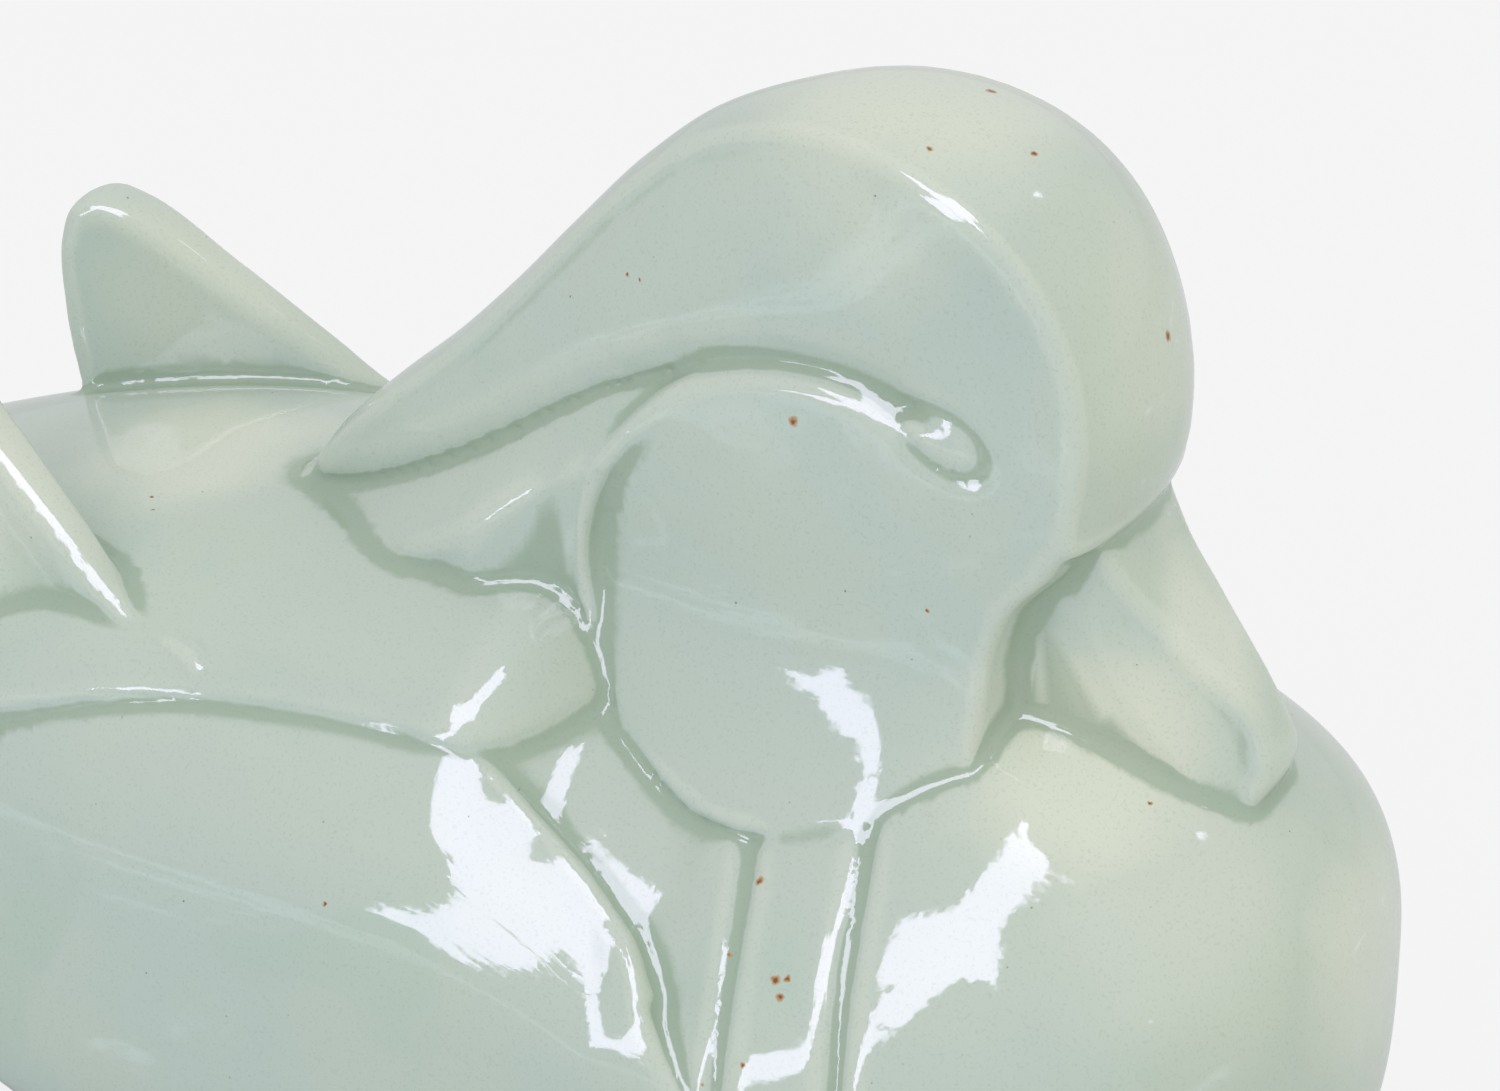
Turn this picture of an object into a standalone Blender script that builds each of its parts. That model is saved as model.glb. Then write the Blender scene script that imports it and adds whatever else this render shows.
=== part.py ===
"""Mandarin duck figure, slip-cast in one hollow piece of glazed porcelain.

The duck rests on a flat base with its bill laid on its breast. X runs from the tail to the
breast, Y across the duck, and Z up from the base. Sizes are metres. The body, the slab of the
head and the two sail feathers are lofted one by one, fused, softened as a coat of glaze softens
them, and hollowed to an even wall with a vent in the base.
"""
import bmesh
import bpy
import numpy as np

# Body, from the tail tip to the front of the breast
LENGTH = 0.262
BODY_WIDTH = 0.126
BACK_HEIGHT = 0.095
BREAST_LENGTH = 0.072
BASE_TUCK = 0.007

# Head: a thick slab with a round crown, and a crest drawn out to the rear
CROWN_RADIUS = 0.0384
CROWN_X = 0.056
CROWN_Z = 0.1297
CROWN_SQUARENESS = 0.021
HEAD_HALF_WIDTH = 0.0195
RIM_RISE = 0.19
HEAD_EDGE = 0.0022
CHEEK_SWELL = 0.004
CHEEK_ROUNDING = 0.0022
CHEEK_FLARE = 0.0125
CHEEK_LIP = 0.0045
RUFF_FLARE = 0.010
RUFF_FALL = 0.011
EYE_LENGTH = 0.0155
EYE_HEIGHT = 0.0090
EYE_TILT = -25.0

# Bill: a wedge laid on the breast, with a narrow ridge on top
BILL_TIP_RADIUS = 0.0075
BILL_DEPTH = 0.016
BILL_ROOT_HALF_WIDTH = 0.0150
BILL_TIP_HALF_WIDTH = 0.0090
BILL_RIDGE_ROOT = 0.0118
BILL_RIDGE_TIP = 0.0042

# Sail feathers: a mirrored pair that leans in at the peaks
SAIL_PEAK_X = -0.0885
SAIL_PEAK_Z = 0.1190
SAIL_PEAK_Y = 0.025
SAIL_PEAK_RADIUS = 0.005
SAIL_FRONT_X = -0.026
SAIL_FRONT_Y = 0.043
SAIL_ROOT_Z = 0.070
SAIL_HALF_THICKNESS = 0.0055
SAIL_FLARE = 0.010
SAIL_DEPTH = 0.030
SAIL_EDGE = 0.0025
SAIL_RIM_RISE = 0.1

# Carved relief: depths, and how far each fall reaches from its line
CAPE_STEP = 0.0032
CAPE_ROLL = 0.010
CAPE_FALL = 0.018
WING_STEP = 0.0019
WING_FALL = 0.0065
BAND_GROOVE = 0.0014
BAND_GROOVE_HALF = 0.0015
RUFF_STEP = 0.0018
CREST_GROOVE = 0.0018
CREST_GROOVE_REACH = 0.0038
EYE_GROOVE = 0.0011
CARVED_EDGE = 0.0012

# Casting
WALL = 0.006
HEAD_HOLLOW_RADIUS = 0.029
HEAD_HOLLOW_HALF_WIDTH = 0.0125
VENT_DIAMETER = 0.020
VENT_X = 0.045
VENT_SIDES = 24
FUSE_SIZE = 0.0013
GLAZE_PASSES = 3
KEPT_SHARE = 0.056
HOLLOW_FUSE_SIZE = 0.0035
HOLLOW_PASSES = 2
HOLLOW_KEPT_SHARE = 0.10
LINE_STEPS = 48

FRONT = LENGTH / 2.0
TAIL = -LENGTH / 2.0
WIDEST_X = FRONT - BREAST_LENGTH

# Side view of the body: shares of the length, and of the height of the back
BACK_LINE = [(-0.5, 0.842), (-0.401, 0.895), (-0.313, 0.953), (-0.214, 0.995), (-0.076, 1.0),
             (0.015, 1.026), (0.069, 1.037), (0.122, 0.979), (0.179, 0.911), (0.252, 0.953),
             (0.324, 0.995), (0.401, 0.953), (0.5, 0.953)]
WIDEST_LINE = [(-0.5, 0.716), (-0.382, 0.611), (-0.229, 0.526), (0.0, 0.495), (0.5, 0.495)]
KEEL_LINE = [(-0.5, 0.611), (-0.439, 0.379), (-0.382, 0.2), (-0.317, 0.053), (-0.244, -0.042),
             (-0.168, -0.074), (0.5, -0.074)]
CAPE_EDGE = [(-0.344, 0.632), (-0.275, 0.721), (-0.212, 0.783), (-0.176, 0.821), (-0.123, 0.861),
             (-0.064, 0.883), (-0.015, 0.893), (0.027, 0.894), (0.062, 0.893), (0.086, 0.905),
             (0.105, 0.926), (0.130, 0.968)]
WING_EDGE = [(0.038, 0.907), (0.062, 0.886), (0.088, 0.851), (0.113, 0.807), (0.137, 0.761),
             (0.157, 0.714), (0.172, 0.679), (0.187, 0.626)]
BAND_EDGES = [[(0.179, 0.947), (0.204, 0.829), (0.218, 0.761), (0.229, 0.658), (0.235, 0.540),
               (0.235, 0.379), (0.225, 0.189), (0.210, -0.042)],
              [(0.244, 0.968), (0.266, 0.872), (0.279, 0.797), (0.289, 0.692), (0.297, 0.576),
               (0.300, 0.411), (0.290, 0.200), (0.271, -0.042)]]

# Squareness of the body's upper sections, by share of the length; 2 is an ellipse
UPPER_FULLNESS = [(-0.5, 2.2), (0.0, 2.5), (0.115, 2.1), (0.214, 1.68), (0.5, 2.1)]
LOWER_FULLNESS = 3.4

# Side view of the head: crown radii from the centre of the crown
CREST_TOP = [(-2.344, -0.904), (-2.135, -0.656), (-1.901, -0.435), (-1.654, -0.221),
             (-1.380, 0.060), (-1.146, 0.326), (-0.872, 0.620), (-0.625, 0.820)]
BROW_TO_BILL = [(0.984, -0.273), (1.068, -0.479), (1.255, -0.703)]
BILL_TIP_CENTRE = (1.398, -1.190)
UNDERSIDE = [(1.146, -1.268), (0.885, -1.216), (0.573, -1.320), (0.156, -1.424),
             (-0.260, -1.424), (-0.625, -1.294), (-0.990, -1.190), (-1.458, -1.138),
             (-1.927, -1.086), (-2.240, -1.021)]
CREST_EDGE = [(-2.396, -0.891), (-2.109, -0.831), (-1.810, -0.695), (-1.562, -0.552),
              (-1.323, -0.396), (-1.042, -0.195), (-0.857, -0.076), (-0.646, 0.026),
              (-0.438, 0.104), (-0.240, 0.159), (-0.049, 0.177), (0.135, 0.159), (0.313, 0.094)]
CHEEK_REAR = [(-0.594, -0.013), (-0.747, -0.188), (-0.854, -0.393), (-0.906, -0.617),
              (-0.898, -0.826), (-0.833, -1.034), (-0.716, -1.242), (-0.625, -1.503)]
BILL_ROOT = [(1.120, -0.044), (1.003, -0.240), (0.898, -0.422), (0.768, -0.578),
             (0.716, -0.747), (0.703, -0.930), (0.703, -1.294)]
BILL_RIDGE = [(0.833, -0.096), (1.003, -0.292), (1.081, -0.461), (1.266, -0.690),
              (1.563, -1.073)]
EYE_CENTRE = (0.492, 0.026)
SLAB_CENTRE = (-0.156, -0.305)
HOLLOW_CENTRE = (0.0, -0.513)
HOLLOW_NECK = [(0.573, -0.773), (0.469, -1.424), (0.0, -1.607), (-0.469, -1.424)]

# Half widths of the head, as shares of the greatest, by crown radii along X
RIM_WIDTHS = [(-2.344, 0.256), (-1.719, 0.385), (-0.938, 0.385), (-0.391, 0.513),
              (-0.182, 0.626), (0.078, 0.779), (0.443, 0.928), (0.755, 0.985), (1.146, 0.964)]
FACE_WIDTHS = [(-2.344, 0.256), (-1.849, 0.564), (-1.328, 0.795), (-0.859, 0.949),
               (-0.417, 1.0), (0.104, 1.026), (0.625, 0.990), (1.146, 0.964)]

# Side view of a sail: shares of the run from peak to front foot, and of the height from the root
SAIL_TOP = [(1.0, 0.306), (0.776, 0.378), (0.584, 0.561), (0.376, 0.765)]
SAIL_REAR = [(0.0, 0.612), (0.032, 0.367), (0.088, 0.0), (0.616, -0.041)]
SAIL_TOE = (1.064, 0.102)
SAIL_CENTRE = (0.360, 0.367)


def ease(share):
    """Soft step from 0 to 1."""
    share = np.clip(share, 0.0, 1.0)
    return share * share * (3.0 - 2.0 * share)


def through(stations, x):
    """Smooth curve through (station, value) pairs, as cubic spans with mean slopes."""
    at, values = np.array(stations, float).T
    slopes = np.gradient(values, at)
    x = np.clip(x, at[0], at[-1])
    i = np.clip(np.searchsorted(at, x, side="right") - 1, 0, len(at) - 2)
    span = at[i + 1] - at[i]
    t = (x - at[i]) / span
    start = (1.0 + 2.0 * t) * (1.0 - t) ** 2 * values[i] + t * (1.0 - t) ** 2 * span * slopes[i]
    end = t * t * (3.0 - 2.0 * t) * values[i + 1] + t * t * (t - 1.0) * span * slopes[i + 1]
    return start + end


def smooth_line(points, count=LINE_STEPS):
    """Smooth line through a few (x, z) points, at even steps."""
    points = np.asarray(points, float)
    steps = np.hypot(*np.diff(points, axis=0).T)
    run = np.concatenate([[0.0], np.cumsum(steps)])
    even = np.linspace(0.0, run[-1], count)
    return np.column_stack([through(list(zip(run, points[:, axis])), even) for axis in (0, 1)])


def arc(centre, radius, start, end, count):
    """Arc in the side view, with its angles in degrees from the X axis."""
    angle = np.radians(np.linspace(start, end, count))
    return np.asarray(centre) + radius * np.column_stack([np.cos(angle), np.sin(angle)])


def on_body(points):
    """Side view points of the body, from shares to metres."""
    return np.asarray(points) * (LENGTH, BACK_HEIGHT)


def on_head(points):
    """Side view points of the head, from crown radii to metres."""
    return np.asarray(points) * CROWN_RADIUS + (CROWN_X, CROWN_Z)


def on_sail(points):
    """Side view points of a sail, from shares to metres."""
    size = (SAIL_FRONT_X - SAIL_PEAK_X, SAIL_PEAK_Z - SAIL_ROOT_Z)
    return np.asarray(points) * size + (SAIL_PEAK_X, SAIL_ROOT_Z)


def crown_line(start, end, count):
    """Outline of the crown between two angles: a circle, a little square towards the brow."""
    angle = np.linspace(start, end, count)
    radius = 1.0 + CROWN_SQUARENESS * np.exp(-((angle - 47.0) / 26.0) ** 2)
    turn = np.radians(angle)
    return on_head(radius[:, None] * np.column_stack([np.cos(turn), np.sin(turn)]))


def distance(line, x, z):
    """Distance of each (x, z) from a line, positive on the left of its run."""
    nearest = np.full(x.shape, np.inf)
    side = np.ones(x.shape)
    for start, end in zip(line[:-1], line[1:]):
        run = end - start
        share = ((x - start[0]) * run[0] + (z - start[1]) * run[1]) / (run @ run)
        share = np.clip(share, 0.0, 1.0)
        off_x = x - start[0] - share * run[0]
        off_z = z - start[1] - share * run[1]
        gap = np.hypot(off_x, off_z)
        closer = gap < nearest
        nearest = np.where(closer, gap, nearest)
        side = np.where(closer, np.sign(run[0] * off_z - run[1] * off_x), side)
    return nearest * side


CAPE_LINE = smooth_line(on_body(CAPE_EDGE))
WING_LINE = smooth_line(on_body(WING_EDGE))
BAND_LINES = [smooth_line(on_body(edge)) for edge in BAND_EDGES]
TOP_LINE = np.concatenate([on_head(CREST_TOP), crown_line(108.0, 0.0, 20)])
RIDGE_LINE = on_head(BILL_RIDGE)
CREST_LINE = smooth_line(on_head(CREST_EDGE))
CHEEK_LINE = smooth_line(on_head(CREST_EDGE[:-6:-1] + CHEEK_REAR))
BILL_LINE = smooth_line(on_head(BILL_ROOT))


def loft(name, rings):
    """Closed mesh through a stack of rings, with a pole at each end."""
    count, around, _ = rings.shape
    points = np.concatenate([rings.reshape(-1, 3), [rings[0].mean(axis=0), rings[-1].mean(axis=0)]])
    row = np.arange(around)
    following = np.roll(row, -1)
    base = (np.arange(count - 1) * around)[:, None]
    quads = np.stack([base + row, base + following, base + around + following,
                      base + around + row], axis=-1).reshape(-1, 4)
    first = np.stack([following, row, np.full(around, count * around)], axis=-1)
    top = (count - 1) * around
    last = np.stack([top + row, top + following, np.full(around, count * around + 1)], axis=-1)
    mesh = bpy.data.meshes.new(name)
    mesh.from_pydata(points.tolist(), [], quads.tolist() + first.tolist() + last.tolist())
    work = bmesh.new()
    work.from_mesh(mesh)
    bmesh.ops.recalc_face_normals(work, faces=work.faces)
    work.to_mesh(mesh)
    work.free()
    return mesh


def body_relief(x, z):
    """Carving on the flank: cape edge, wing edge and the two grooves of the breast band."""
    along = x / LENGTH
    above = distance(CAPE_LINE, x, z)
    rolled = np.clip(above / CAPE_ROLL, 0.0, 1.0)
    cape = np.where(above > 0.0, 1.0 - np.sqrt(1.0 - (1.0 - rolled) ** 2),
                    np.exp(-(above / CAPE_FALL) ** 2))
    cape = cape * ease((along + 0.336) / 0.1145)
    ahead = distance(WING_LINE, x, z)
    wing = np.where(ahead > 0.0, ease(1.0 - ahead / CARVED_EDGE),
                    np.exp(-np.abs(ahead / WING_FALL) ** 1.5))
    wing = wing * ease((along - 0.046) / 0.061) * ease((0.187 - along) / 0.034)
    relief = -CAPE_STEP * cape - WING_STEP * wing
    for line in BAND_LINES:
        relief = relief - BAND_GROOVE * np.exp(-(distance(line, x, z) / BAND_GROOVE_HALF) ** 2)
    return relief


def body_form(stations, around, inset=0.0, carved=True):
    """The body: rounded sections along X, full at the shoulders and drawn up to the tail."""
    turn = np.linspace(-np.pi / 2.0, np.pi / 2.0, stations + 2)[1:-1]
    x = FRONT * np.sin(turn)
    along = x / LENGTH
    ahead = np.clip((x - WIDEST_X) / BREAST_LENGTH, 0.0, 1.0)
    behind = np.clip((WIDEST_X - x) / (WIDEST_X - TAIL), 0.0, 1.0)
    half = BODY_WIDTH / 2.0 * (1.0 - ahead ** 2.2) ** (1.0 / 2.2) * (1.0 - behind ** 3.2) ** 0.5
    level = BACK_HEIGHT * through(WIDEST_LINE, along)
    tail_end = (1.0 - behind ** 14) ** 0.5
    rise = (BACK_HEIGHT * through(BACK_LINE, along) - level) * tail_end
    rise = rise * (1.0 - ahead ** 2.5) ** (1.0 / 2.5)
    drop = (level - BACK_HEIGHT * through(KEEL_LINE, along)) * tail_end
    drop = drop * (1.0 - ahead ** 3.0) ** (1.0 / 3.0)
    angle = np.linspace(0.0, 2.0 * np.pi, around, endpoint=False)
    across = np.cos(angle)
    up = np.sin(angle)
    power = 2.0 / np.where(up > 0.0, through(UPPER_FULLNESS, along)[:, None], LOWER_FULLNESS)
    across = np.sign(across) * np.abs(across) ** power
    up = np.sign(up) * np.abs(up) ** power
    y = half[:, None] * across
    z = level[:, None] + np.where(up > 0.0, rise[:, None], drop[:, None]) * up
    rings = np.stack([np.broadcast_to(x[:, None], y.shape), y, z], axis=-1)
    run = np.gradient(rings, axis=0)
    around_ring = np.roll(rings, -1, axis=1) - np.roll(rings, 1, axis=1)
    outward = np.cross(around_ring, run)
    outward /= np.maximum(np.linalg.norm(outward, axis=-1, keepdims=True), 1e-12)
    if np.mean(outward[..., 2] * up) < 0.0:
        outward = -outward
    shift = np.full(y.shape, -inset)
    if carved:
        shift = shift + body_relief(rings[..., 0], rings[..., 2]) * ease(np.abs(y) / BODY_WIDTH * 6.3)
    rings = rings + shift[..., None] * outward
    rings[..., 2] = np.maximum(rings[..., 2], inset if inset > 0.0 else -BASE_TUCK / 2.0)
    return rings


def head_outline(count):
    """Side outline of head, crest and bill, run from the crest tip over the crown."""
    tip = arc(on_head(BILL_TIP_CENTRE), BILL_TIP_RADIUS, 35.0, -95.0, 5)
    line = np.concatenate([on_head(CREST_TOP), crown_line(108.0, -8.0, 13), on_head(BROW_TO_BILL),
                           tip, on_head(UNDERSIDE + CREST_TOP[:1])])
    return smooth_line(line, count + 1)[:-1]


def bill_half_width(x, z, u):
    """Half thickness of the bill: a narrow ridge that widens downwards."""
    ridge_z = np.interp(x, RIDGE_LINE[:, 0], RIDGE_LINE[:, 1])
    root_share = np.clip((u - 0.781) / 0.8125, 0.0, 1.0)
    low = BILL_ROOT_HALF_WIDTH + (BILL_TIP_HALF_WIDTH - BILL_ROOT_HALF_WIDTH) * root_share
    ridge_share = np.clip((u - 0.964) / 0.521, 0.0, 1.0)
    ridge = BILL_RIDGE_ROOT + (BILL_RIDGE_TIP - BILL_RIDGE_ROOT) * ridge_share
    return ridge + (low - ridge) * np.clip((ridge_z - z) / BILL_DEPTH, 0.0, 1.0)


def eye_cut(u, w):
    """Depth of the almond-shaped groove around the eye."""
    turn = np.radians(EYE_TILT)
    ahead = (u - EYE_CENTRE[0]) * CROWN_RADIUS
    up = (w - EYE_CENTRE[1]) * CROWN_RADIUS
    along = (ahead * np.cos(turn) + up * np.sin(turn)) / (EYE_LENGTH / 2.0)
    across = (up * np.cos(turn) - ahead * np.sin(turn)) / (EYE_HEIGHT / 2.0)
    return EYE_GROOVE * np.exp(-((np.hypot(along, across) - 0.80) / 0.20) ** 2)


def head_half_width(x, z):
    """Half thickness of the head at a point of the side view, with its carved relief."""
    u = (x - CROWN_X) / CROWN_RADIUS
    w = (z - CROWN_Z) / CROWN_RADIUS
    rim = HEAD_HALF_WIDTH * through(RIM_WIDTHS, u)
    full = HEAD_HALF_WIDTH * through(FACE_WIDTHS, u)
    top = np.interp(x, TOP_LINE[:, 0], TOP_LINE[:, 1])
    crest_z = np.interp(x, CREST_LINE[:, 0], CREST_LINE[:, 1])
    down = np.clip((top - z) / np.maximum(top - crest_z, 0.1 * CROWN_RADIUS), 0.0, 1.0)
    slab = rim + (full - rim) * (1.0 - (1.0 - down) ** 1.8)
    above = distance(CREST_LINE, x, z)
    inside = distance(CHEEK_LINE, x, z)
    carved = ease((0.60 - u) / 0.34)
    below_crest = ease(0.5 - above / CARVED_EDGE)
    behind_cheek = ease(0.5 - inside / CARVED_EDGE)
    reach = np.where(above > 0.0, CREST_GROOVE_REACH, CARVED_EDGE)
    groove = CREST_GROOVE * np.exp(-(above / reach) ** 2) + RUFF_STEP * below_crest * behind_cheek
    cheek = 1.0 - (1.0 - ease((inside + CARVED_EDGE) / CHEEK_LIP)) * carved
    swell = CHEEK_SWELL * ease((0.477 - w) / 1.17)
    rounding = CHEEK_ROUNDING * ((u - 0.182) / 0.781) ** 2 * ease(-w / 0.78)
    low = np.clip((-0.513 - w) / 0.833, 0.0, 1.2)
    flare = CHEEK_FLARE * low ** 2.2 * ease((1.094 - u) / 0.781)
    lobe = RUFF_FLARE * ease((crest_z - z) / RUFF_FALL) * (1.0 - 0.5 * ease((u + 1.354) / 0.365))
    face = slab + cheek * (swell - rounding + flare) + (1.0 - cheek) * lobe
    face = face - groove * carved - eye_cut(u, w)
    bill = ease(0.5 + distance(BILL_LINE, x, z) / (2.0 * CARVED_EDGE))
    return face * (1.0 - bill) + bill_half_width(x, z, u) * bill


def head_rim(outline):
    """Rise of the head's rim: least on the crest, most on the brow, slight on the bill."""
    u, w = ((outline - (CROWN_X, CROWN_Z)) / CROWN_RADIUS).T
    brow = ease((u + 0.286) / 1.042)
    bill = ease((-0.096 - w) / 0.469) * ease((u - 0.755) / 0.26)
    return RIM_RISE * (0.86 + 0.54 * brow) * (1.0 - 0.75 * bill)


def pillow(outline, centre, half_width, edge, rim_rise, middle=None, face_rings=40, rim_rings=12):
    """Slab with a side outline: two faces, softly rounded edges and a raised rim.

    half_width(x, z, side) gives the distance of a face from the middle surface, on the left
    for side 1 and on the right for side -1. middle(x, z) gives that surface's own Y.
    rim_rise is the rise of the rim's middle over its edges, as a share of the half width.
    """
    run = np.roll(outline, -1, axis=0) - np.roll(outline, 1, axis=0)
    outward = np.column_stack([-run[:, 1], run[:, 0]]) / np.hypot(*run.T)[:, None]
    if np.mean(np.sum(outward * (outline - centre), axis=1)) < 0.0:
        outward = -outward
    shoulder = outline - edge * outward
    turns = np.radians([22.5, 45.0, 67.5, 90.0])
    shares = np.linspace(0.02, 1.0, face_rings)[:, None, None]
    face = np.asarray(centre) + shares * (shoulder - centre)
    rounding = outline - edge * (1.0 - np.sin(turns))[:, None, None] * outward
    flat = np.concatenate([face, rounding])
    drop = np.concatenate([np.zeros(face_rings), edge * (1.0 - np.cos(turns))])[:, None]
    base = np.zeros(flat.shape[:2]) if middle is None else middle(flat[..., 0])
    sides = []
    for side in (1.0, -1.0):
        width = half_width(face[..., 0], face[..., 1], side)
        width = np.concatenate([width, np.repeat(width[-1:], len(turns), axis=0)]) - drop
        sides.append(np.stack([flat[..., 0], base + side * width, flat[..., 1]], axis=-1))
    left = sides[0][-1]
    right = sides[1][-1]
    across = np.linspace(0.0, 1.0, rim_rings)[1:-1, None, None]
    rim = left + (right - left) * across
    reach = rim_rise * (left[:, 1] - right[:, 1]) / 2.0
    lift = 1.0 - (2.0 * across[..., 0] - 1.0) ** 2
    rim[..., 0] += lift * reach * outward[:, 0]
    rim[..., 2] += lift * reach * outward[:, 1]
    return np.concatenate([sides[0], rim, sides[1][::-1]])


def sail_outline(count):
    """Side outline of a sail feather, run from its front foot over the peak."""
    peak_centre = (SAIL_PEAK_X + SAIL_PEAK_RADIUS, SAIL_PEAK_Z - SAIL_PEAK_RADIUS)
    peak = arc(peak_centre, SAIL_PEAK_RADIUS, 60.0, 175.0, 5)
    line = np.concatenate([on_sail([SAIL_TOE] + SAIL_TOP), peak, on_sail(SAIL_REAR + [SAIL_TOE])])
    return smooth_line(line, count + 1)[:-1]


def sail_share(x):
    """Share of the way from a sail's front foot back to its peak."""
    return np.clip((SAIL_FRONT_X - x) / (SAIL_FRONT_X - SAIL_PEAK_X), 0.0, 1.0)


def sail_middle(x):
    """Distance of a sail's middle surface from the centre plane."""
    return SAIL_FRONT_Y + (SAIL_PEAK_Y - SAIL_FRONT_Y) * sail_share(x) ** 0.9


def sail_half_width(x, z, side):
    """Half thickness of a sail: thin in front, thick behind, flared outward at its foot."""
    top = on_sail([(0.0, 1.0)] + SAIL_TOP[::-1])
    depth = (np.interp(x, top[:, 0], top[:, 1]) - z) / SAIL_DEPTH
    thick = SAIL_HALF_THICKNESS * (0.40 + 0.60 * sail_share(x)) * (1.0 + 0.25 * ease(depth))
    flare = SAIL_FLARE * np.clip(depth, 0.0, 1.2) ** 2.2 if side > 0.0 else 0.0
    return thick + flare


def head_form(around, face_rings):
    """Head, crest and bill as one slab."""
    outline = head_outline(around)
    return pillow(outline, on_head(SLAB_CENTRE), lambda x, z, side: head_half_width(x, z),
                  HEAD_EDGE, head_rim(outline), face_rings=face_rings)


def sail_form(around, face_rings):
    """Left sail feather."""
    return pillow(sail_outline(around), on_sail(SAIL_CENTRE), sail_half_width, SAIL_EDGE,
                  SAIL_RIM_RISE, middle=sail_middle, face_rings=face_rings, rim_rings=8)


def neck_hollow_width(x, z, side):
    """Half width of the hollow in the head, a wall inside the outer face."""
    return np.clip(head_half_width(x, z) - 1.35 * WALL, 0.5 * WALL, HEAD_HOLLOW_HALF_WIDTH)


def head_hollow_form(around, face_rings):
    """Hollow of the crown, open to the body's hollow through the neck."""
    crown = arc((CROWN_X, CROWN_Z - 0.5 * WALL), HEAD_HOLLOW_RADIUS, 200.0, -20.0, 24)
    outline = np.concatenate([crown, on_head(HOLLOW_NECK), crown[:1]])
    return pillow(smooth_line(outline, around + 1)[:-1], on_head(HOLLOW_CENTRE),
                  neck_hollow_width, 0.5 * WALL, SAIL_RIM_RISE, face_rings=face_rings, rim_rings=6)


def fused(name, forms, fuse_size, passes, kept_share):
    """One object from overlapping forms: fused, softened, and reduced to broad facets."""
    work = bmesh.new()
    for number, rings in enumerate(forms):
        form = loft(name + "_form_" + str(number), rings)
        work.from_mesh(form)
        bpy.data.meshes.remove(form)
    mesh = bpy.data.meshes.new(name)
    work.to_mesh(mesh)
    work.free()
    thing = bpy.data.objects.new(name, mesh)
    bpy.context.scene.collection.objects.link(thing)
    fuse = thing.modifiers.new("fuse", "REMESH")
    fuse.mode = "VOXEL"
    fuse.voxel_size = fuse_size
    soften = thing.modifiers.new("soften", "SMOOTH")
    soften.factor = 0.5
    soften.iterations = passes
    reduce = thing.modifiers.new("reduce", "DECIMATE")
    reduce.ratio = kept_share
    return thing


def as_cutter(thing):
    """Show an object as a guide that only cuts."""
    thing.hide_render = True
    thing.display_type = "WIRE"
    return thing


def cut(thing, tool):
    """Take a cutter's volume out of an object."""
    difference = thing.modifiers.new("cut_" + tool.name, "BOOLEAN")
    difference.operation = "DIFFERENCE"
    difference.solver = "EXACT"
    difference.object = tool


def base_cutter():
    """Block below the plane that the duck rests on."""
    work = bmesh.new()
    bmesh.ops.create_cube(work, size=1.0)
    for point in work.verts:
        point.co.x *= LENGTH * 1.2
        point.co.y *= BODY_WIDTH * 1.2
        point.co.z = (point.co.z - 0.5) * 4.0 * BASE_TUCK
    mesh = bpy.data.meshes.new("under_base")
    work.to_mesh(mesh)
    work.free()
    thing = bpy.data.objects.new("under_base", mesh)
    bpy.context.scene.collection.objects.link(thing)
    return as_cutter(thing)


def vent_cutter():
    """Vent through the base, under the head."""
    work = bmesh.new()
    bmesh.ops.create_cone(work, cap_ends=True, segments=VENT_SIDES, radius1=VENT_DIAMETER / 2.0,
                          radius2=VENT_DIAMETER / 2.0, depth=6.0 * WALL)
    for point in work.verts:
        point.co.x += VENT_X
    mesh = bpy.data.meshes.new("vent")
    work.to_mesh(mesh)
    work.free()
    thing = bpy.data.objects.new("vent", mesh)
    bpy.context.scene.collection.objects.link(thing)
    return as_cutter(thing)


def glaze():
    """Pale grey-green celadon glaze."""
    material = bpy.data.materials.new("celadon_glaze")
    material.use_nodes = True
    surface = material.node_tree.nodes["Principled BSDF"]
    surface.inputs["Base Color"].default_value = (0.50, 0.60, 0.53, 1.0)
    surface.inputs["Roughness"].default_value = 0.08
    surface.inputs["Metallic"].default_value = 0.0
    surface.inputs["IOR"].default_value = 1.5
    return material


for thing in list(bpy.data.objects):
    bpy.data.objects.remove(thing)

left_sail = sail_form(120, 24)
right_sail = left_sail * np.array([1.0, -1.0, 1.0])
duck = fused("mandarin_duck", [body_form(220, 200), head_form(360, 80), left_sail, right_sail],
             FUSE_SIZE, GLAZE_PASSES, KEPT_SHARE)
hollow = fused("hollow", [body_form(80, 72, WALL, False), head_hollow_form(80, 20)],
               HOLLOW_FUSE_SIZE, HOLLOW_PASSES, HOLLOW_KEPT_SHARE)
cut(duck, base_cutter())
cut(duck, as_cutter(hollow))
cut(duck, vent_cutter())
duck.data.materials.append(glaze())
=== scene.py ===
import math

import bmesh
import bpy
import numpy as np
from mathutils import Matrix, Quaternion, Vector
from mathutils.kdtree import KDTree


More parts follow.
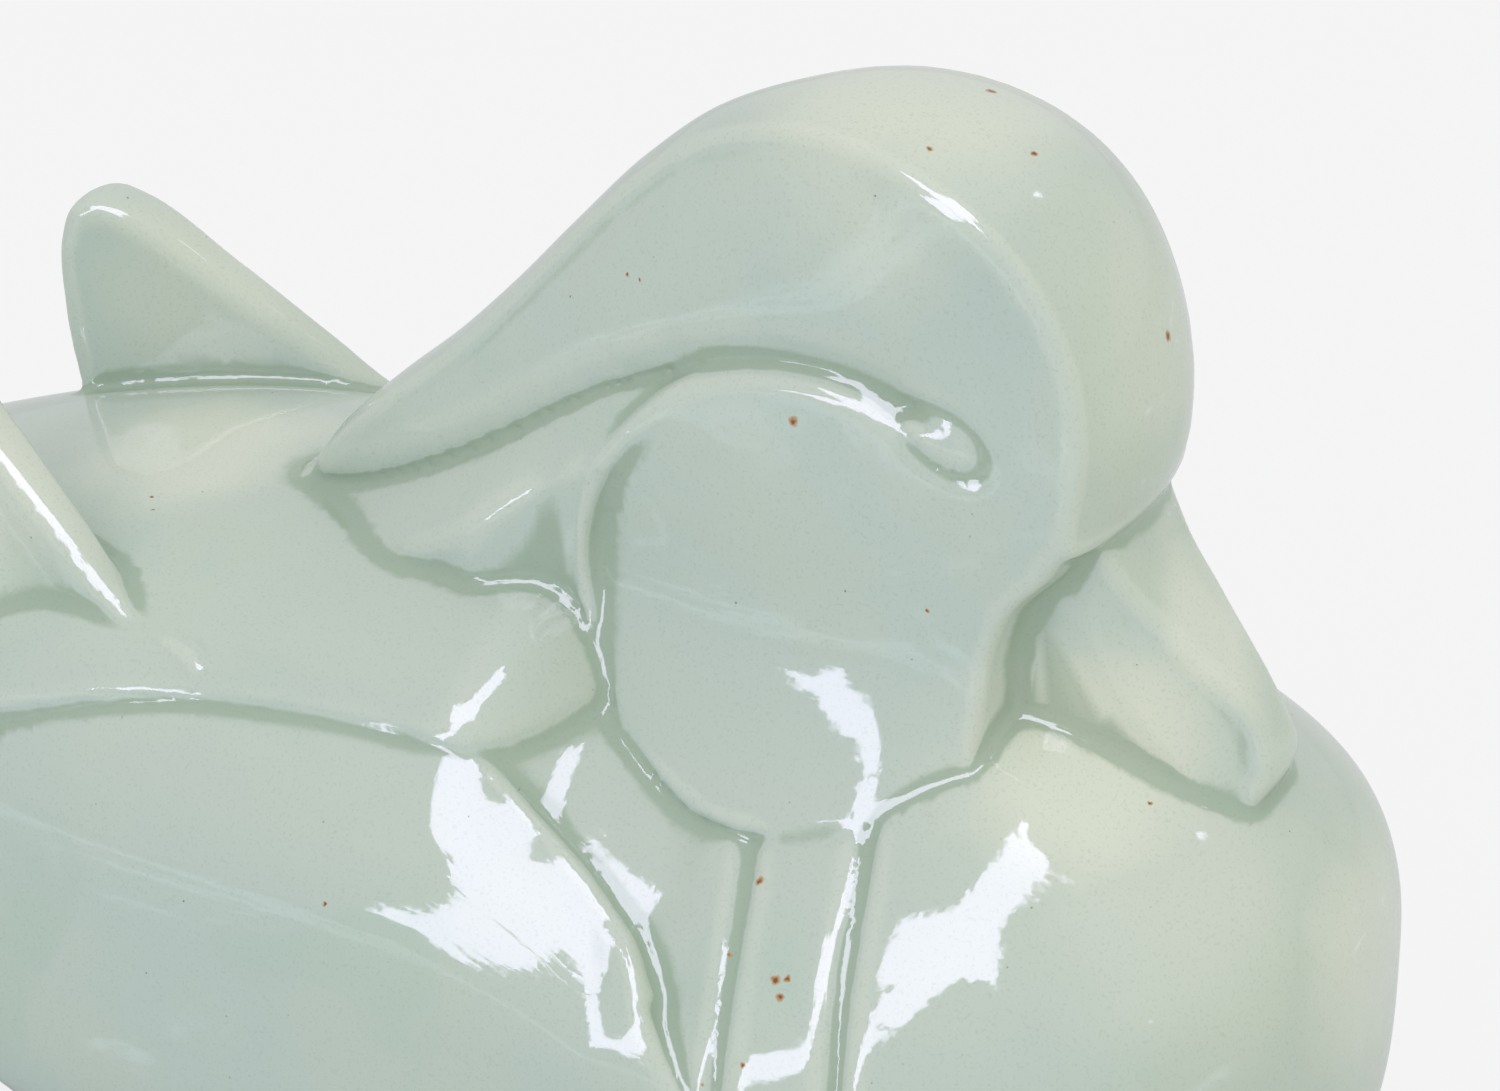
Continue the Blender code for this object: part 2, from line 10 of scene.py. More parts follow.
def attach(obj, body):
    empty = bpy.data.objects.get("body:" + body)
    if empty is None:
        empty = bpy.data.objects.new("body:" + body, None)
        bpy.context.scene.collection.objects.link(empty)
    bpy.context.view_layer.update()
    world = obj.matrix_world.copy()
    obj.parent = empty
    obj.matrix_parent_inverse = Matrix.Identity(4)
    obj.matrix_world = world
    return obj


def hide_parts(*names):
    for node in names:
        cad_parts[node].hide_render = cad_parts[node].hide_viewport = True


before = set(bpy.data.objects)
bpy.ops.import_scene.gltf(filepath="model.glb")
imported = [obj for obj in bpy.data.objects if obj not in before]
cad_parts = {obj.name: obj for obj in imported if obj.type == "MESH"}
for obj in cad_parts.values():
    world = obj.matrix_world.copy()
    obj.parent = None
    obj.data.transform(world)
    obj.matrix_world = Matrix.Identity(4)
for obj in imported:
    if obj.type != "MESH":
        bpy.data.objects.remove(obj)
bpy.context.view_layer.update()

# Duck: one slip-cast porcelain body with carved relief, under a pale celadon glaze.
# The body, the slab of the head and the two sail feathers are lofted at a fine pitch, fused
# and softened, as the glaze rounds every edge and fills every groove.

# Body, from the tail tip to the front of the breast
LENGTH = 0.262
BODY_WIDTH = 0.126
BACK_HEIGHT = 0.095
BREAST_LENGTH = 0.072
BASE_TUCK = 0.007

# Head: a thick slab with a round crown, and a crest drawn out to the rear
CROWN_RADIUS = 0.0384
CROWN_X = 0.056
CROWN_Z = 0.1297
CROWN_SQUARENESS = 0.021
HEAD_HALF_WIDTH = 0.0195
RIM_RISE = 0.19
HEAD_EDGE = 0.0022
CHEEK_SWELL = 0.004
CHEEK_ROUNDING = 0.0022
CHEEK_FLARE = 0.0125
CHEEK_LIP = 0.0045
RUFF_FLARE = 0.010
RUFF_FALL = 0.011
EYE_LENGTH = 0.0155
EYE_HEIGHT = 0.0090
EYE_TILT = -25.0

# Bill: a wedge laid on the breast, with a narrow ridge on top
BILL_TIP_RADIUS = 0.0075
BILL_DEPTH = 0.016
BILL_ROOT_HALF_WIDTH = 0.0150
BILL_TIP_HALF_WIDTH = 0.0090
BILL_RIDGE_ROOT = 0.0118
BILL_RIDGE_TIP = 0.0042

# Sail feathers: a mirrored pair that leans in at the peaks
SAIL_PEAK_X = -0.0885
SAIL_PEAK_Z = 0.1190
SAIL_PEAK_Y = 0.025
SAIL_PEAK_RADIUS = 0.005
SAIL_FRONT_X = -0.026
SAIL_FRONT_Y = 0.043
SAIL_ROOT_Z = 0.070
SAIL_HALF_THICKNESS = 0.0055
SAIL_FLARE = 0.010
SAIL_DEPTH = 0.030
SAIL_EDGE = 0.0025
SAIL_RIM_RISE = 0.1

# Carved relief: depths, and how far each fall reaches from its line
CAPE_STEP = 0.0032
CAPE_ROLL = 0.010
CAPE_FALL = 0.018
WING_STEP = 0.0019
WING_FALL = 0.0065
BAND_GROOVE = 0.0014
BAND_GROOVE_HALF = 0.0015
RUFF_STEP = 0.0018
CREST_GROOVE = 0.0018
CREST_GROOVE_REACH = 0.0038
EYE_GROOVE = 0.0006
CARVED_EDGE = 0.0012

# Valley between the wing and the breast band, deepest at the band
SHELF_STEP = 0.0045
SHELF_FALL = 0.002

# Drain and air hole through the flat foot
VENT_DIAMETER = 0.020
VENT_X = 0.045

# Pitch of the fine skin, passes that soften it, and the share of its triangles that is kept
FUSE_SIZE = 0.0008
GLAZE_PASSES = 4
KEPT_SHARE = 0.40
LINE_STEPS = 48

FRONT = LENGTH / 2.0
TAIL = -LENGTH / 2.0
WIDEST_X = FRONT - BREAST_LENGTH

# Side view of the body: shares of the length, and of the height of the back
BACK_LINE = [(-0.5, 0.842), (-0.401, 0.895), (-0.313, 0.953), (-0.214, 0.995), (-0.076, 1.0),
             (0.015, 1.026), (0.069, 1.037), (0.122, 0.979), (0.179, 0.911), (0.252, 0.953),
             (0.324, 0.995), (0.401, 0.953), (0.5, 0.953)]
WIDEST_LINE = [(-0.5, 0.716), (-0.382, 0.611), (-0.229, 0.526), (0.0, 0.495), (0.5, 0.495)]
KEEL_LINE = [(-0.5, 0.611), (-0.439, 0.379), (-0.382, 0.2), (-0.317, 0.053), (-0.244, -0.042),
             (-0.168, -0.074), (0.5, -0.074)]
CAPE_EDGE = [(-0.344, 0.632), (-0.275, 0.721), (-0.212, 0.783), (-0.176, 0.821), (-0.123, 0.861),
             (-0.064, 0.883), (-0.015, 0.893), (0.027, 0.894), (0.062, 0.893), (0.086, 0.905),
             (0.105, 0.926), (0.130, 0.968)]
WING_EDGE = [(0.038, 0.907), (0.062, 0.886), (0.088, 0.851), (0.113, 0.807), (0.137, 0.761),
             (0.157, 0.714), (0.172, 0.679), (0.187, 0.626)]
BAND_EDGES = [[(0.179, 0.947), (0.204, 0.829), (0.218, 0.761), (0.229, 0.658), (0.235, 0.540),
               (0.235, 0.379), (0.225, 0.189), (0.210, -0.042)],
              [(0.244, 0.968), (0.266, 0.872), (0.279, 0.797), (0.289, 0.692), (0.297, 0.576),
               (0.300, 0.411), (0.290, 0.200), (0.271, -0.042)]]

# Squareness of the body's upper sections, by share of the length; 2 is an ellipse
UPPER_FULLNESS = [(-0.5, 2.2), (0.0, 2.5), (0.115, 2.1), (0.214, 1.68), (0.5, 2.1)]
LOWER_FULLNESS = 3.4

# Side view of the head: crown radii from the centre of the crown
CREST_TOP = [(-2.344, -0.904), (-2.135, -0.656), (-1.901, -0.435), (-1.654, -0.221),
             (-1.380, 0.060), (-1.146, 0.326), (-0.872, 0.620), (-0.625, 0.820)]
BROW_TO_BILL = [(0.984, -0.273), (1.068, -0.479), (1.255, -0.703)]
BILL_TIP_CENTRE = (1.398, -1.190)
UNDERSIDE = [(1.146, -1.268), (0.885, -1.216), (0.573, -1.320), (0.156, -1.424),
             (-0.260, -1.424), (-0.625, -1.294), (-0.990, -1.190), (-1.458, -1.138),
             (-1.927, -1.086), (-2.240, -1.021)]
CREST_EDGE = [(-2.396, -0.891), (-2.109, -0.831), (-1.810, -0.695), (-1.562, -0.552),
              (-1.323, -0.396), (-1.042, -0.195), (-0.857, -0.076), (-0.646, 0.026),
              (-0.438, 0.104), (-0.240, 0.159), (-0.049, 0.177), (0.135, 0.159), (0.313, 0.094)]
CHEEK_REAR = [(-0.594, -0.013), (-0.747, -0.188), (-0.854, -0.393), (-0.906, -0.617),
              (-0.898, -0.826), (-0.833, -1.034), (-0.716, -1.242), (-0.625, -1.503)]
BILL_ROOT = [(1.120, -0.044), (1.003, -0.240), (0.898, -0.422), (0.768, -0.578),
             (0.716, -0.747), (0.703, -0.930), (0.703, -1.294)]
BILL_RIDGE = [(0.833, -0.096), (1.003, -0.292), (1.081, -0.461), (1.266, -0.690),
              (1.563, -1.073)]
EYE_CENTRE = (0.492, 0.026)
SLAB_CENTRE = (-0.156, -0.305)

# Half widths of the head, as shares of the greatest, by crown radii along X
RIM_WIDTHS = [(-2.344, 0.256), (-1.719, 0.385), (-0.938, 0.385), (-0.391, 0.513),
              (-0.182, 0.626), (0.078, 0.779), (0.443, 0.928), (0.755, 0.985), (1.146, 0.964)]
FACE_WIDTHS = [(-2.344, 0.256), (-1.849, 0.564), (-1.328, 0.795), (-0.859, 0.949),
               (-0.417, 1.0), (0.104, 1.026), (0.625, 0.990), (1.146, 0.964)]

# Side view of a sail: shares of the run from peak to front foot, and of the height from the root
SAIL_TOP = [(1.0, 0.306), (0.776, 0.378), (0.584, 0.561), (0.376, 0.765)]
SAIL_REAR = [(0.0, 0.612), (0.032, 0.367), (0.088, 0.0), (0.616, -0.041)]
SAIL_TOE = (1.064, 0.102)
SAIL_CENTRE = (0.360, 0.367)


def ease(share):
    """Soft step from 0 to 1."""
    share = np.clip(share, 0.0, 1.0)
    return share * share * (3.0 - 2.0 * share)


def through(stations, x):
    """Smooth curve through (station, value) pairs, as cubic spans with mean slopes."""
    at, values = np.array(stations, float).T
    slopes = np.gradient(values, at)
    x = np.clip(x, at[0], at[-1])
    i = np.clip(np.searchsorted(at, x, side="right") - 1, 0, len(at) - 2)
    span = at[i + 1] - at[i]
    t = (x - at[i]) / span
    start = (1.0 + 2.0 * t) * (1.0 - t) ** 2 * values[i] + t * (1.0 - t) ** 2 * span * slopes[i]
    end = t * t * (3.0 - 2.0 * t) * values[i + 1] + t * t * (t - 1.0) * span * slopes[i + 1]
    return start + end


def smooth_line(points, count=LINE_STEPS):
    """Smooth line through a few (x, z) points, at even steps."""
    points = np.asarray(points, float)
    steps = np.hypot(*np.diff(points, axis=0).T)
    run = np.concatenate([[0.0], np.cumsum(steps)])
    even = np.linspace(0.0, run[-1], count)
    return np.column_stack([through(list(zip(run, points[:, axis])), even) for axis in (0, 1)])


def arc(centre, radius, start, end, count):
    """Arc in the side view, with its angles in degrees from the X axis."""
    angle = np.radians(np.linspace(start, end, count))
    return np.asarray(centre) + radius * np.column_stack([np.cos(angle), np.sin(angle)])


def on_body(points):
    """Side view points of the body, from shares to metres."""
    return np.asarray(points) * (LENGTH, BACK_HEIGHT)


def on_head(points):
    """Side view points of the head, from crown radii to metres."""
    return np.asarray(points) * CROWN_RADIUS + (CROWN_X, CROWN_Z)


def on_sail(points):
    """Side view points of a sail, from shares to metres."""
    size = (SAIL_FRONT_X - SAIL_PEAK_X, SAIL_PEAK_Z - SAIL_ROOT_Z)
    return np.asarray(points) * size + (SAIL_PEAK_X, SAIL_ROOT_Z)


def crown_line(start, end, count):
    """Outline of the crown between two angles: a circle, a little square towards the brow."""
    angle = np.linspace(start, end, count)
    radius = 1.0 + CROWN_SQUARENESS * np.exp(-((angle - 47.0) / 26.0) ** 2)
    turn = np.radians(angle)
    return on_head(radius[:, None] * np.column_stack([np.cos(turn), np.sin(turn)]))


def distance(line, x, z):
    """Distance of each (x, z) from a line, positive on the left of its run."""
    nearest = np.full(x.shape, np.inf)
    side = np.ones(x.shape)
    for start, end in zip(line[:-1], line[1:]):
        run = end - start
        share = ((x - start[0]) * run[0] + (z - start[1]) * run[1]) / (run @ run)
        share = np.clip(share, 0.0, 1.0)
        off_x = x - start[0] - share * run[0]
        off_z = z - start[1] - share * run[1]
        gap = np.hypot(off_x, off_z)
        closer = gap < nearest
        nearest = np.where(closer, gap, nearest)
        side = np.where(closer, np.sign(run[0] * off_z - run[1] * off_x), side)
    return nearest * side


CAPE_LINE = smooth_line(on_body(CAPE_EDGE))
WING_LINE = smooth_line(on_body(WING_EDGE))
BAND_LINES = [smooth_line(on_body(edge)) for edge in BAND_EDGES]
TOP_LINE = np.concatenate([on_head(CREST_TOP), crown_line(108.0, 0.0, 20)])
RIDGE_LINE = on_head(BILL_RIDGE)
CREST_LINE = smooth_line(on_head(CREST_EDGE))
CHEEK_LINE = smooth_line(on_head(CREST_EDGE[:-6:-1] + CHEEK_REAR))
BILL_LINE = smooth_line(on_head(BILL_ROOT))


def body_relief(x, z):
    """Carving on the flank: cape edge, wing edge, the valley before it and the breast band."""
    along = x / LENGTH
    above = distance(CAPE_LINE, x, z)
    rolled = np.clip(above / CAPE_ROLL, 0.0, 1.0)
    cape = np.where(above > 0.0, 1.0 - np.sqrt(1.0 - (1.0 - rolled) ** 2),
                    np.exp(-(above / CAPE_FALL) ** 2))
    cape = cape * ease((along + 0.336) / 0.1145)
    ahead = distance(WING_LINE, x, z)
    wing = np.where(ahead > 0.0, ease(1.0 - ahead / CARVED_EDGE),
                    np.exp(-np.abs(ahead / WING_FALL) ** 1.5))
    wing = wing * ease((along - 0.046) / 0.061) * ease((0.187 - along) / 0.034)
    behind_band = np.maximum(-distance(BAND_LINES[0], x, z), 0.0)
    shelf = behind_band / np.maximum(ahead + behind_band, BAND_GROOVE_HALF)
    shelf = shelf * ease(ahead / SHELF_FALL) * ease((along - 0.046) / 0.076)
    relief = -CAPE_STEP * cape - WING_STEP * wing - SHELF_STEP * shelf
    for line in BAND_LINES:
        relief = relief - BAND_GROOVE * np.exp(-(distance(line, x, z) / BAND_GROOVE_HALF) ** 2)
    return relief


def body_form(stations, around):
    """The body: rounded sections along X, full at the shoulders and drawn up to the tail."""
    turn = np.linspace(-np.pi / 2.0, np.pi / 2.0, stations + 2)[1:-1]
    x = FRONT * np.sin(turn)
    along = x / LENGTH
    ahead = np.clip((x - WIDEST_X) / BREAST_LENGTH, 0.0, 1.0)
    behind = np.clip((WIDEST_X - x) / (WIDEST_X - TAIL), 0.0, 1.0)
    half = BODY_WIDTH / 2.0 * (1.0 - ahead ** 2.2) ** (1.0 / 2.2) * (1.0 - behind ** 3.2) ** 0.5
    level = BACK_HEIGHT * through(WIDEST_LINE, along)
    tail_end = (1.0 - behind ** 14) ** 0.5
    rise = (BACK_HEIGHT * through(BACK_LINE, along) - level) * tail_end
    rise = rise * (1.0 - ahead ** 2.5) ** (1.0 / 2.5)
    drop = (level - BACK_HEIGHT * through(KEEL_LINE, along)) * tail_end
    drop = drop * (1.0 - ahead ** 3.0) ** (1.0 / 3.0)
    angle = np.linspace(0.0, 2.0 * np.pi, around, endpoint=False)
    across = np.cos(angle)
    up = np.sin(angle)
    power = 2.0 / np.where(up > 0.0, through(UPPER_FULLNESS, along)[:, None], LOWER_FULLNESS)
    across = np.sign(across) * np.abs(across) ** power
    up = np.sign(up) * np.abs(up) ** power
    y = half[:, None] * across
    z = level[:, None] + np.where(up > 0.0, rise[:, None], drop[:, None]) * up
    rings = np.stack([np.broadcast_to(x[:, None], y.shape), y, z], axis=-1)
    run = np.gradient(rings, axis=0)
    around_ring = np.roll(rings, -1, axis=1) - np.roll(rings, 1, axis=1)
    outward = np.cross(around_ring, run)
    outward /= np.maximum(np.linalg.norm(outward, axis=-1, keepdims=True), 1e-12)
    if np.mean(outward[..., 2] * up) < 0.0:
        outward = -outward
    shift = body_relief(rings[..., 0], rings[..., 2]) * ease(np.abs(y) / BODY_WIDTH * 6.3)
    rings = rings + shift[..., None] * outward
    rings[..., 2] = np.maximum(rings[..., 2], -BASE_TUCK / 2.0)
    return rings


def head_outline(count):
    """Side outline of head, crest and bill, run from the crest tip over the crown."""
    tip = arc(on_head(BILL_TIP_CENTRE), BILL_TIP_RADIUS, 35.0, -95.0, 5)
    line = np.concatenate([on_head(CREST_TOP), crown_line(108.0, -8.0, 13), on_head(BROW_TO_BILL),
                           tip, on_head(UNDERSIDE + CREST_TOP[:1])])
    return smooth_line(line, count + 1)[:-1]


def bill_half_width(x, z, u):
    """Half thickness of the bill: a narrow ridge that widens downwards."""
    ridge_z = np.interp(x, RIDGE_LINE[:, 0], RIDGE_LINE[:, 1])
    root_share = np.clip((u - 0.781) / 0.8125, 0.0, 1.0)
    low = BILL_ROOT_HALF_WIDTH + (BILL_TIP_HALF_WIDTH - BILL_ROOT_HALF_WIDTH) * root_share
    ridge_share = np.clip((u - 0.964) / 0.521, 0.0, 1.0)
    ridge = BILL_RIDGE_ROOT + (BILL_RIDGE_TIP - BILL_RIDGE_ROOT) * ridge_share
    return ridge + (low - ridge) * np.clip((ridge_z - z) / BILL_DEPTH, 0.0, 1.0)


def eye_cut(u, w):
    """Depth of the almond-shaped groove around the eye."""
    turn = np.radians(EYE_TILT)
    ahead = (u - EYE_CENTRE[0]) * CROWN_RADIUS
    up = (w - EYE_CENTRE[1]) * CROWN_RADIUS
    along = (ahead * np.cos(turn) + up * np.sin(turn)) / (EYE_LENGTH / 2.0)
    across = (up * np.cos(turn) - ahead * np.sin(turn)) / (EYE_HEIGHT / 2.0)
    return EYE_GROOVE * np.exp(-((np.hypot(along, across) - 0.80) / 0.20) ** 2)


def head_half_width(x, z):
    """Half thickness of the head at a point of the side view, with its carved relief."""
    u = (x - CROWN_X) / CROWN_RADIUS
    w = (z - CROWN_Z) / CROWN_RADIUS
    rim = HEAD_HALF_WIDTH * through(RIM_WIDTHS, u)
    full = HEAD_HALF_WIDTH * through(FACE_WIDTHS, u)
    top = np.interp(x, TOP_LINE[:, 0], TOP_LINE[:, 1])
    crest_z = np.interp(x, CREST_LINE[:, 0], CREST_LINE[:, 1])
    down = np.clip((top - z) / np.maximum(top - crest_z, 0.1 * CROWN_RADIUS), 0.0, 1.0)
    slab = rim + (full - rim) * (1.0 - (1.0 - down) ** 1.8)
    above = distance(CREST_LINE, x, z)
    inside = distance(CHEEK_LINE, x, z)
    carved = ease((0.60 - u) / 0.34)
    below_crest = ease(0.5 - above / CARVED_EDGE)
    behind_cheek = ease(0.5 - inside / CARVED_EDGE)
    reach = np.where(above > 0.0, CREST_GROOVE_REACH, CARVED_EDGE)
    groove = CREST_GROOVE * np.exp(-(above / reach) ** 2) + RUFF_STEP * below_crest * behind_cheek
    cheek = 1.0 - (1.0 - ease((inside + CARVED_EDGE) / CHEEK_LIP)) * carved
    swell = CHEEK_SWELL * ease((0.477 - w) / 1.17)
    rounding = CHEEK_ROUNDING * ((u - 0.182) / 0.781) ** 2 * ease(-w / 0.78)
    low = np.clip((-0.513 - w) / 0.833, 0.0, 1.2)
    flare = CHEEK_FLARE * low ** 2.2 * ease((1.094 - u) / 0.781)
    lobe = RUFF_FLARE * ease((crest_z - z) / RUFF_FALL) * (1.0 - 0.5 * ease((u + 1.354) / 0.365))
    face = slab + cheek * (swell - rounding + flare) + (1.0 - cheek) * lobe
    face = face - groove * carved - eye_cut(u, w)
    bill = ease(0.5 + distance(BILL_LINE, x, z) / (2.0 * CARVED_EDGE))
    return face * (1.0 - bill) + bill_half_width(x, z, u) * bill


def head_rim(outline):
    """Rise of the head's rim: least on the crest, most on the brow, slight on the bill."""
    u, w = ((outline - (CROWN_X, CROWN_Z)) / CROWN_RADIUS).T
    brow = ease((u + 0.286) / 1.042)
    bill = ease((-0.096 - w) / 0.469) * ease((u - 0.755) / 0.26)
    return RIM_RISE * (0.86 + 0.54 * brow) * (1.0 - 0.75 * bill)


def pillow(outline, centre, half_width, edge, rim_rise, middle=None, face_rings=40, rim_rings=12):
    """Slab with a side outline: two faces, softly rounded edges and a raised rim.

    half_width(x, z, side) gives the distance of a face from the middle surface, on the left
    for side 1 and on the right for side -1. middle(x, z) gives that surface's own Y.
    rim_rise is the rise of the rim's middle over its edges, as a share of the half width.
    """
    run = np.roll(outline, -1, axis=0) - np.roll(outline, 1, axis=0)
    outward = np.column_stack([-run[:, 1], run[:, 0]]) / np.hypot(*run.T)[:, None]
    if np.mean(np.sum(outward * (outline - centre), axis=1)) < 0.0:
        outward = -outward
    shoulder = outline - edge * outward
    turns = np.radians([22.5, 45.0, 67.5, 90.0])
    shares = np.linspace(0.02, 1.0, face_rings)[:, None, None]
    face = np.asarray(centre) + shares * (shoulder - centre)
    rounding = outline - edge * (1.0 - np.sin(turns))[:, None, None] * outward
    flat = np.concatenate([face, rounding])
    drop = np.concatenate([np.zeros(face_rings), edge * (1.0 - np.cos(turns))])[:, None]
    base = np.zeros(flat.shape[:2]) if middle is None else middle(flat[..., 0])
    sides = []
    for side in (1.0, -1.0):
        width = half_width(face[..., 0], face[..., 1], side)
        width = np.concatenate([width, np.repeat(width[-1:], len(turns), axis=0)]) - drop
        sides.append(np.stack([flat[..., 0], base + side * width, flat[..., 1]], axis=-1))
    left = sides[0][-1]
    right = sides[1][-1]
    across = np.linspace(0.0, 1.0, rim_rings)[1:-1, None, None]
    rim = left + (right - left) * across
    reach = rim_rise * (left[:, 1] - right[:, 1]) / 2.0
    lift = 1.0 - (2.0 * across[..., 0] - 1.0) ** 2
    rim[..., 0] += lift * reach * outward[:, 0]
    rim[..., 2] += lift * reach * outward[:, 1]
    return np.concatenate([sides[0], rim, sides[1][::-1]])


def sail_outline(count):
    """Side outline of a sail feather, run from its front foot over the peak."""
    peak_centre = (SAIL_PEAK_X + SAIL_PEAK_RADIUS, SAIL_PEAK_Z - SAIL_PEAK_RADIUS)
    peak = arc(peak_centre, SAIL_PEAK_RADIUS, 60.0, 175.0, 5)
    line = np.concatenate([on_sail([SAIL_TOE] + SAIL_TOP), peak, on_sail(SAIL_REAR + [SAIL_TOE])])
    return smooth_line(line, count + 1)[:-1]


def sail_share(x):
    """Share of the way from a sail's front foot back to its peak."""
    return np.clip((SAIL_FRONT_X - x) / (SAIL_FRONT_X - SAIL_PEAK_X), 0.0, 1.0)


def sail_middle(x):
    """Distance of a sail's middle surface from the centre plane."""
    return SAIL_FRONT_Y + (SAIL_PEAK_Y - SAIL_FRONT_Y) * sail_share(x) ** 0.9


def sail_half_width(x, z, side):
    """Half thickness of a sail: thin in front, thick behind, flared outward at its foot."""
    top = on_sail([(0.0, 1.0)] + SAIL_TOP[::-1])
    depth = (np.interp(x, top[:, 0], top[:, 1]) - z) / SAIL_DEPTH
    thick = SAIL_HALF_THICKNESS * (0.40 + 0.60 * sail_share(x)) * (1.0 + 0.25 * ease(depth))
    flare = SAIL_FLARE * np.clip(depth, 0.0, 1.2) ** 2.2 if side > 0.0 else 0.0
    return thick + flare


def head_form(around, face_rings):
    """Head, crest and bill as one slab."""
    outline = head_outline(around)
    return pillow(outline, on_head(SLAB_CENTRE), lambda x, z, side: head_half_width(x, z),
                  HEAD_EDGE, head_rim(outline), face_rings=face_rings)


def sail_form(around, face_rings):
    """Left sail feather."""
    return pillow(sail_outline(around), on_sail(SAIL_CENTRE), sail_half_width, SAIL_EDGE,
                  SAIL_RIM_RISE, middle=sail_middle, face_rings=face_rings, rim_rings=8)


def mesh_from(name, points, kinds):
    """Mesh from arrays of points and of faces, one array for each number of corners."""
    mesh = bpy.data.meshes.new(name)
    mesh.vertices.add(len(points))
    mesh.vertices.foreach_set("co", points.astype(np.float32).ravel())
    sizes = np.concatenate([np.full(len(faces), faces.shape[1]) for faces in kinds])
    corners = np.concatenate([faces.ravel() for faces in kinds])
    mesh.loops.add(len(corners))
    mesh.loops.foreach_set("vertex_index", corners.astype(np.int32))
    mesh.polygons.add(len(sizes))
    starts = np.concatenate([[0], np.cumsum(sizes)[:-1]])
    mesh.polygons.foreach_set("loop_start", starts.astype(np.int32))
    mesh.update(calc_edges=True)
    return mesh


def mesh_of(name, forms):
    """One mesh of closed grids: each form is a stack of rings with a pole at both ends."""
    points = []
    quads = []
    caps = []
    first = 0
    for rings in forms:
        count, around, _ = rings.shape
        points += [rings.reshape(-1, 3), rings[0].mean(axis=0)[None], rings[-1].mean(axis=0)[None]]
        row = np.arange(around)
        following = np.roll(row, -1)
        base = (first + np.arange(count - 1) * around)[:, None]
        quads.append(np.stack([base + row, base + following, base + around + following,
                               base + around + row], axis=-1).reshape(-1, 4))
        top = first + (count - 1) * around
        pole = first + count * around
        caps.append(np.stack([first + following, first + row, np.full(around, pole)], axis=-1))
        caps.append(np.stack([top + row, top + following, np.full(around, pole + 1)], axis=-1))
        first = pole + 2
    return mesh_from(name, np.concatenate(points), [np.concatenate(quads), np.concatenate(caps)])


def shown(name, data):
    """New object in the scene."""
    thing = bpy.data.objects.new(name, data)
    bpy.context.scene.collection.objects.link(thing)
    return thing


def settled(thing, name):
    """Mesh of an object with its modifiers applied, and the object removed."""
    bpy.context.view_layer.update()
    graph = bpy.context.evaluated_depsgraph_get()
    mesh = bpy.data.meshes.new_from_object(thing.evaluated_get(graph))
    mesh.name = name
    bpy.data.objects.remove(thing)
    return mesh


def fused(name, forms, fuse_size, passes):
    """Overlapping forms fused into one skin and softened."""
    thing = shown(name, mesh_of(name, forms))
    fuse = thing.modifiers.new("fuse", "REMESH")
    fuse.mode = "VOXEL"
    fuse.voxel_size = fuse_size
    soften = thing.modifiers.new("soften", "SMOOTH")
    soften.factor = 0.5
    soften.iterations = passes
    return settled(thing, name)


def points_of(mesh):
    """Vertex positions as an array."""
    points = np.empty(len(mesh.vertices) * 3, np.float32)
    mesh.vertices.foreach_get("co", points)
    return points.reshape(-1, 3).astype(float)


def spread(points, pairs, times):
    """Points moved to the mean of their neighbours, a number of times."""
    ends = np.concatenate([pairs[:, 0], pairs[:, 1]])
    others = np.concatenate([pairs[:, 1], pairs[:, 0]])
    number = np.bincount(ends, minlength=len(points))[:, None]
    for _ in range(times):
        total = [np.bincount(ends, weights=points[others, axis], minlength=len(points))
                 for axis in range(3)]
        points = np.stack(total, axis=-1) / number
    return points


left_sail = sail_form(260, 50)
right_sail = left_sail * np.array([1.0, -1.0, 1.0])
dense = fused("duck_dense", [body_form(460, 420), head_form(760, 140), left_sail, right_sail],
              FUSE_SIZE, GLAZE_PASSES)

# How hollow the skin is at two breadths: glaze pools in hollows and runs thin off edges.
# Each is the gap to the skin smoothed that many times, as a share of a depth in metres.
pairs = np.empty(len(dense.edges) * 2, np.int32)
dense.edges.foreach_get("vertices", pairs)
pairs = pairs.reshape(-1, 2)
dense_points = points_of(dense)
dense_normals = np.empty(len(dense_points) * 3, np.float32)
dense.vertex_normals.foreach_get("vector", dense_normals)
dense_normals = dense_normals.reshape(-1, 3).astype(float)
hollows = {}
flattened = dense_points
for name, passes, depth in (("fine_hollow", 8, 0.0001), ("soft_hollow", 24, 0.0004)):
    flattened = spread(flattened, pairs, passes)
    hollows[name] = np.sum((flattened - dense_points) * dense_normals, axis=1) / depth

thing = shown("duck_cut", dense)
reduce = thing.modifiers.new("reduce", "DECIMATE")
reduce.ratio = KEPT_SHARE

# The foot is ground flat on the plane of the table, and the vent is drilled up through it.
under_mesh = bpy.data.meshes.new("under_base")
work = bmesh.new()
bmesh.ops.create_cube(work, size=1.0)
for point in work.verts:
    point.co = Vector((point.co.x * 0.30, point.co.y * 0.15, (point.co.z - 0.5) * 0.02))
work.to_mesh(under_mesh)
work.free()
vent_mesh = bpy.data.meshes.new("vent")
work = bmesh.new()
bmesh.ops.create_cone(work, cap_ends=True, segments=64, radius1=VENT_DIAMETER / 2.0,
                      radius2=VENT_DIAMETER / 2.0, depth=0.05)
for point in work.verts:
    point.co.x += VENT_X
work.to_mesh(vent_mesh)
work.free()
tools = [shown("under_base", under_mesh), shown("vent", vent_mesh)]
for tool in tools:
    cut = thing.modifiers.new("cut_" + tool.name, "BOOLEAN")
    cut.operation = "DIFFERENCE"
    cut.solver = "MANIFOLD"
    cut.object = tool
mesh = settled(thing, "mandarin_duck_skin")
for tool in tools:
    bpy.data.objects.remove(tool)
duck = shown("mandarin_duck_skin", mesh)

